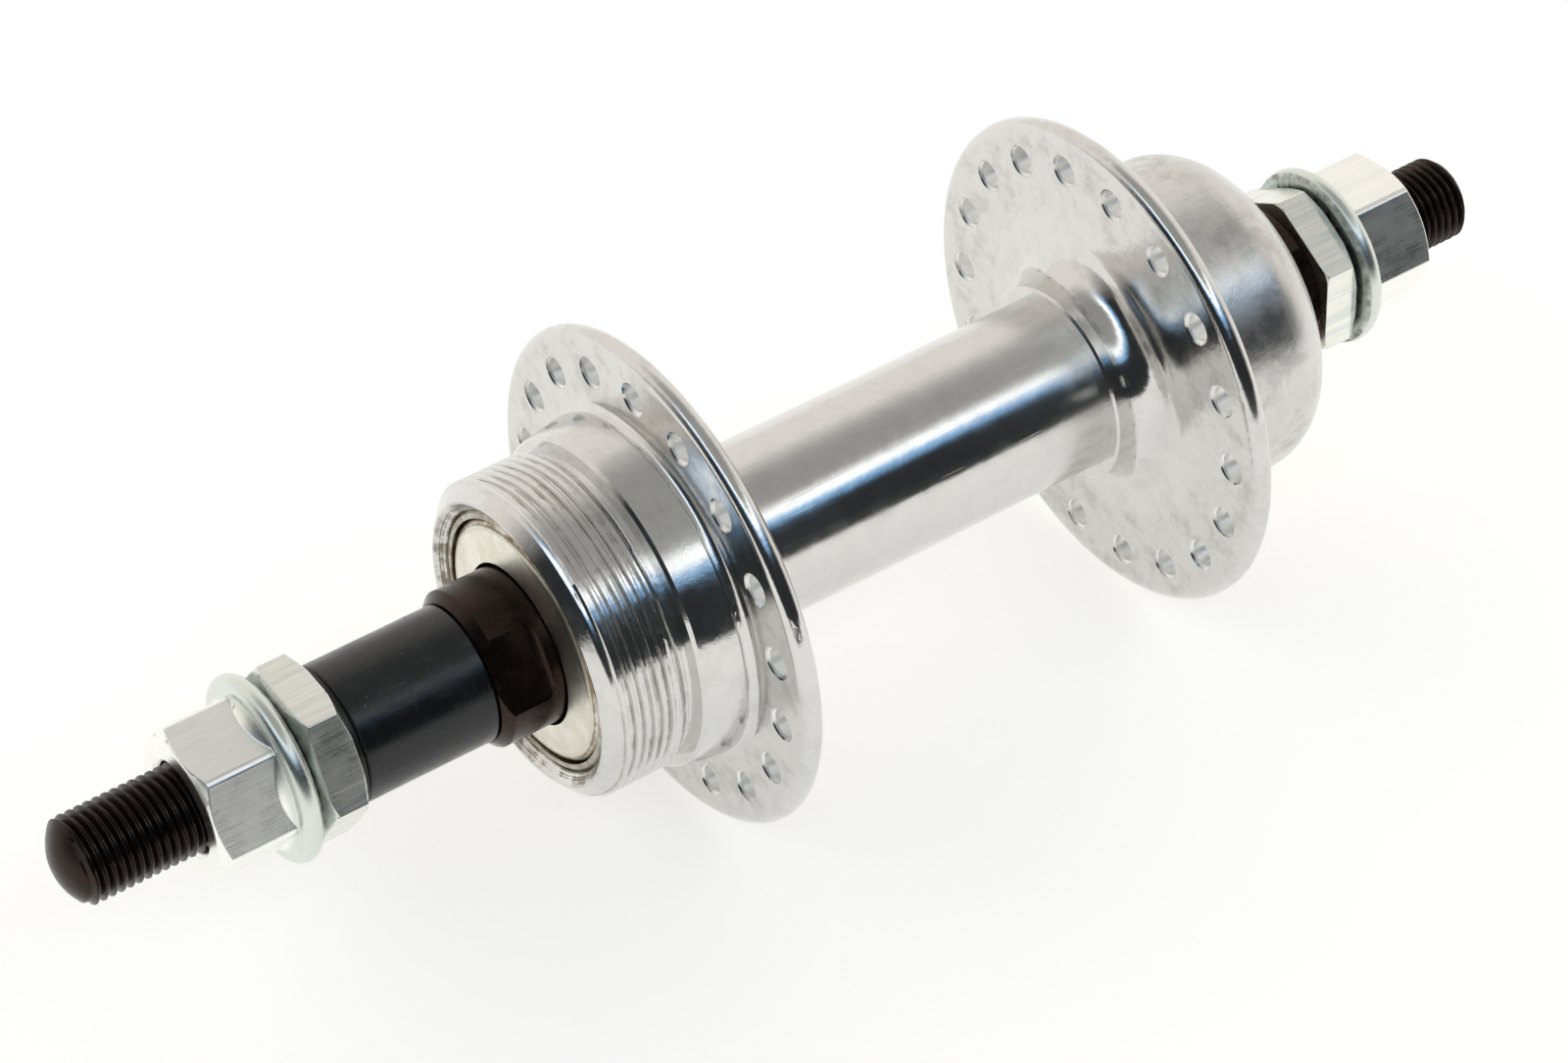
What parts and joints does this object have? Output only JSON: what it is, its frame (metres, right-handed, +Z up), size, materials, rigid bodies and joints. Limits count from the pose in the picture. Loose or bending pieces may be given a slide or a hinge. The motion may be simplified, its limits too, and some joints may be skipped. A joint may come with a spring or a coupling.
{
  "type": "bicycle rear hub",
  "caption": "Steel rear bicycle hub with a screw-on freewheel boss, two spoke flanges, solid axle, spacer, locknuts and flanged axle nuts.",
  "frame": {"origin": "on the axle line, midway between the outer faces of the two locknuts, where the middle of the frame's gap falls", "axes": "+Y along the axle from the freewheel (drive) side to the other side, +Z up, +X forwards on the bicycle; the wheel spins about Y"},
  "size_m": [0.055, 0.1742, 0.055],
  "materials": {
    "polished_chrome": "bright chrome plate, lightly scratched",
    "zinc_plate": "pale zinc plate",
    "yellow_zinc": "zinc plate with a film of grease",
    "bearing_steel": "ground and hardened",
    "cage_steel": "plain pressed steel",
    "black_oxide": "satin black oxide"
  },
  "bodies": {
    "axle_set": {"axle": "black_oxide", "drive_locknut": "zinc_plate", "non_drive_locknut": "zinc_plate", "drive_lock_washer": "black_oxide", "drive_spacer": "black_oxide", "drive_cone": "black_oxide", "non_drive_cone": "black_oxide"},
    "hub_shell": {"hub_barrel": "polished_chrome", "drive_flange_shell": "polished_chrome", "non_drive_flange_shell": "polished_chrome", "drive_bearing_cup": "bearing_steel", "non_drive_bearing_cup": "bearing_steel", "drive_dust_cap": "yellow_zinc", "non_drive_dust_cap": "yellow_zinc"},
    "drive_ball_ring": {"drive_balls": "bearing_steel", "drive_ball_cage": "cage_steel"},
    "non_drive_ball_ring": {"non_drive_balls": "bearing_steel", "non_drive_ball_cage": "cage_steel"},
    "drive_nut": {"drive_axle_nut": "zinc_plate"},
    "non_drive_nut": {"non_drive_axle_nut": "zinc_plate"}
  },
  "joints": [
    {"name": "hub_spin", "type": "hinge", "parent": "axle_set", "child": "hub_shell", "pos_m": [0, 0, 0], "axis": [0, 1, 0], "continuous": true},
    {"name": "drive_balls_roll", "type": "hinge", "parent": "axle_set", "child": "drive_ball_ring", "pos_m": [0, -0.031, 0], "axis": [0, 1, 0], "continuous": true},
    {"name": "non_drive_balls_roll", "type": "hinge", "parent": "axle_set", "child": "non_drive_ball_ring", "pos_m": [0, 0.049, 0], "axis": [0, 1, 0], "continuous": true},
    {"name": "drive_nut_off", "type": "slide", "parent": "axle_set", "child": "drive_nut", "axis": [0, -1, 0], "range_m": [-0.0004, 0.026]},
    {"name": "non_drive_nut_off", "type": "slide", "parent": "axle_set", "child": "non_drive_nut", "axis": [0, 1, 0], "range_m": [-0.0004, 0.022]}
  ],
  "couplings": [
    {"joint": "drive_balls_roll", "follows": "hub_spin", "ratio": 0.61},
    {"joint": "non_drive_balls_roll", "follows": "hub_spin", "ratio": 0.61}
  ]
}
